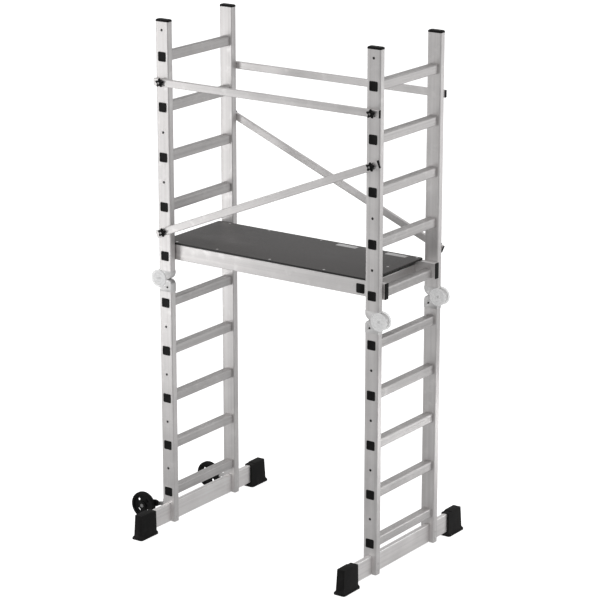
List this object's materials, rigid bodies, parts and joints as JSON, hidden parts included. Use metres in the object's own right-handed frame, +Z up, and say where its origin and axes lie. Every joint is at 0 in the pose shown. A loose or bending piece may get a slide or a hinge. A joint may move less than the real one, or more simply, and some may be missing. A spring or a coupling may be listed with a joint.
{
  "type": "folding room scaffold",
  "caption": "Narrow aluminium work scaffold: two ladders that fold at half height, a hook-on deck between them, clamped guard rails and diagonal braces, flanged feet and wheels.",
  "frame": {"origin": "on the ground, at the middle of the whole object's box", "axes": "+Z up; +X from the wheeled ladder to the other ladder; +Y along the rungs, away from the front"},
  "size_m": [1.548, 1.082, 2.604],
  "materials": {
    "stile_metal": "extruded aluminium, natural finish with fine die lines",
    "rung_metal": "extruded aluminium with tread grooves",
    "bar_metal": "extruded aluminium, natural finish",
    "guard_metal": "flat-oval aluminium tube, natural finish",
    "deck_rail_metal": "extruded aluminium, natural finish",
    "cast_metal": "cast aluminium, bead blasted",
    "cover_plastic": "pale translucent moulded plastic",
    "black_plastic": "black moulded plastic, finely grained",
    "foot_rubber": "black rubber, moulded",
    "wheel_plastic": "black moulded plastic with a rubber tread",
    "zinc_steel": "zinc-plated steel",
    "deck_board": "dark phenolic-faced plywood with a fine anti-slip print"
  },
  "bodies": {
    "upper_frame": {"upper_stile_left_front": "stile_metal", "upper_stile_left_back": "stile_metal", "upper_stile_right_front": "stile_metal", "upper_stile_right_back": "stile_metal", "upper_rungs_left": "rung_metal", "upper_rungs_right": "rung_metal", "upper_rung_plugs": "black_plastic", "stile_caps": "black_plastic", "upper_hinge_blocks": "cast_metal", "hinge_pins": "zinc_steel", "hinge_covers": "cover_plastic", "guard_rail_front": "guard_metal", "guard_rail_back": "guard_metal", "brace_front": "guard_metal", "brace_back": "guard_metal", "tube_end_plugs": "black_plastic", "guard_bolts": "zinc_steel"},
    "lower_ladder_left": {"lower_stile_left_front": "stile_metal", "lower_stile_left_back": "stile_metal", "lower_rungs_left": "rung_metal", "lower_rung_plugs_left": "black_plastic", "lower_hinge_blocks_left": "cast_metal", "base_bar_left": "bar_metal", "feet_left": "foot_rubber", "base_rivets_left": "zinc_steel", "wheel_arms": "black_plastic", "wheel_straps": "zinc_steel", "wheel_axles": "zinc_steel"},
    "lower_ladder_right": {"lower_stile_right_front": "stile_metal", "lower_stile_right_back": "stile_metal", "lower_rungs_right": "rung_metal", "lower_rung_plugs_right": "black_plastic", "lower_hinge_blocks_right": "cast_metal", "base_bar_right": "bar_metal", "feet_right": "foot_rubber", "base_rivets_right": "zinc_steel"},
    "platform": {"platform_rail_front": "deck_rail_metal", "platform_rail_back": "deck_rail_metal", "platform_transoms": "rung_metal", "platform_deck": "deck_board", "platform_end_caps": "black_plastic", "deck_rivets": "zinc_steel"},
    "wheel_front": {"wheel_front": "wheel_plastic"},
    "wheel_back": {"wheel_back": "wheel_plastic"},
    "star_knob_rail_front_left": {"star_knob_rail_front_left": "black_plastic"},
    "star_knob_rail_front_right": {"star_knob_rail_front_right": "black_plastic"},
    "star_knob_rail_back_left": {"star_knob_rail_back_left": "black_plastic"},
    "star_knob_rail_back_right": {"star_knob_rail_back_right": "black_plastic"},
    "star_knob_brace_front_left": {"star_knob_brace_front_left": "black_plastic"},
    "star_knob_brace_front_right": {"star_knob_brace_front_right": "black_plastic"},
    "star_knob_brace_back_left": {"star_knob_brace_back_left": "black_plastic"},
    "star_knob_brace_back_right": {"star_knob_brace_back_right": "black_plastic"},
    "lock_pin_left_front": {"lock_pin_left_front": "black_plastic"},
    "lock_pin_left_back": {"lock_pin_left_back": "black_plastic"},
    "lock_pin_right_front": {"lock_pin_right_front": "black_plastic"},
    "lock_pin_right_back": {"lock_pin_right_back": "black_plastic"}
  },
  "joints": [
    {"name": "fold_left", "type": "hinge", "parent": "upper_frame", "child": "lower_ladder_left", "pos_m": [-0.582, 0, 1.3005], "axis": [0, 1, 0], "range_deg": [0, 168]},
    {"name": "fold_right", "type": "hinge", "parent": "upper_frame", "child": "lower_ladder_right", "pos_m": [0.729, 0, 1.3005], "axis": [0, -1, 0], "range_deg": [0, 180]},
    {"name": "platform_lift", "type": "slide", "parent": "upper_frame", "child": "platform", "axis": [0, 0, 1], "range_m": [0, 0.12]},
    {"name": "wheel_front_spin", "type": "hinge", "parent": "lower_ladder_left", "child": "wheel_front", "pos_m": [-0.704, -0.2775, 0.072], "axis": [0, 1, 0], "continuous": true},
    {"name": "wheel_back_spin", "type": "hinge", "parent": "lower_ladder_left", "child": "wheel_back", "pos_m": [-0.704, 0.2775, 0.072], "axis": [0, 1, 0], "continuous": true},
    {"name": "star_knob_rail_front_left_turn", "type": "hinge", "parent": "upper_frame", "child": "star_knob_rail_front_left", "pos_m": [-0.541, -0.2985, 2.296], "axis": [0, -1, 0], "continuous": true},
    {"name": "star_knob_rail_front_right_turn", "type": "hinge", "parent": "upper_frame", "child": "star_knob_rail_front_right", "pos_m": [0.688, -0.2985, 2.296], "axis": [0, -1, 0], "continuous": true},
    {"name": "star_knob_rail_back_left_turn", "type": "hinge", "parent": "upper_frame", "child": "star_knob_rail_back_left", "pos_m": [-0.541, 0.2985, 2.296], "axis": [0, 1, 0], "continuous": true},
    {"name": "star_knob_rail_back_right_turn", "type": "hinge", "parent": "upper_frame", "child": "star_knob_rail_back_right", "pos_m": [0.688, 0.2985, 2.296], "axis": [0, 1, 0], "continuous": true},
    {"name": "star_knob_brace_front_left_turn", "type": "hinge", "parent": "upper_frame", "child": "star_knob_brace_front_left", "pos_m": [-0.541, -0.2985, 1.546], "axis": [0, -1, 0], "continuous": true},
    {"name": "star_knob_brace_front_right_turn", "type": "hinge", "parent": "upper_frame", "child": "star_knob_brace_front_right", "pos_m": [0.688, -0.2985, 2.046], "axis": [0, -1, 0], "continuous": true},
    {"name": "star_knob_brace_back_left_turn", "type": "hinge", "parent": "upper_frame", "child": "star_knob_brace_back_left", "pos_m": [-0.541, 0.2985, 2.046], "axis": [0, 1, 0], "continuous": true},
    {"name": "star_knob_brace_back_right_turn", "type": "hinge", "parent": "upper_frame", "child": "star_knob_brace_back_right", "pos_m": [0.688, 0.2985, 1.546], "axis": [0, 1, 0], "continuous": true},
    {"name": "lock_pin_left_front_press", "type": "slide", "parent": "lower_ladder_left", "child": "lock_pin_left_front", "axis": [0, 1, 0], "range_m": [0, 0.0025], "stiffness_N_per_m": 400, "springref_m": -0.002},
    {"name": "lock_pin_left_back_press", "type": "slide", "parent": "lower_ladder_left", "child": "lock_pin_left_back", "axis": [0, 1, 0], "range_m": [0, 0.0025], "stiffness_N_per_m": 400, "springref_m": -0.002},
    {"name": "lock_pin_right_front_press", "type": "slide", "parent": "lower_ladder_right", "child": "lock_pin_right_front", "axis": [0, 1, 0], "range_m": [0, 0.0025], "stiffness_N_per_m": 400, "springref_m": -0.002},
    {"name": "lock_pin_right_back_press", "type": "slide", "parent": "lower_ladder_right", "child": "lock_pin_right_back", "axis": [0, 1, 0], "range_m": [0, 0.0025], "stiffness_N_per_m": 400, "springref_m": -0.002}
  ]
}
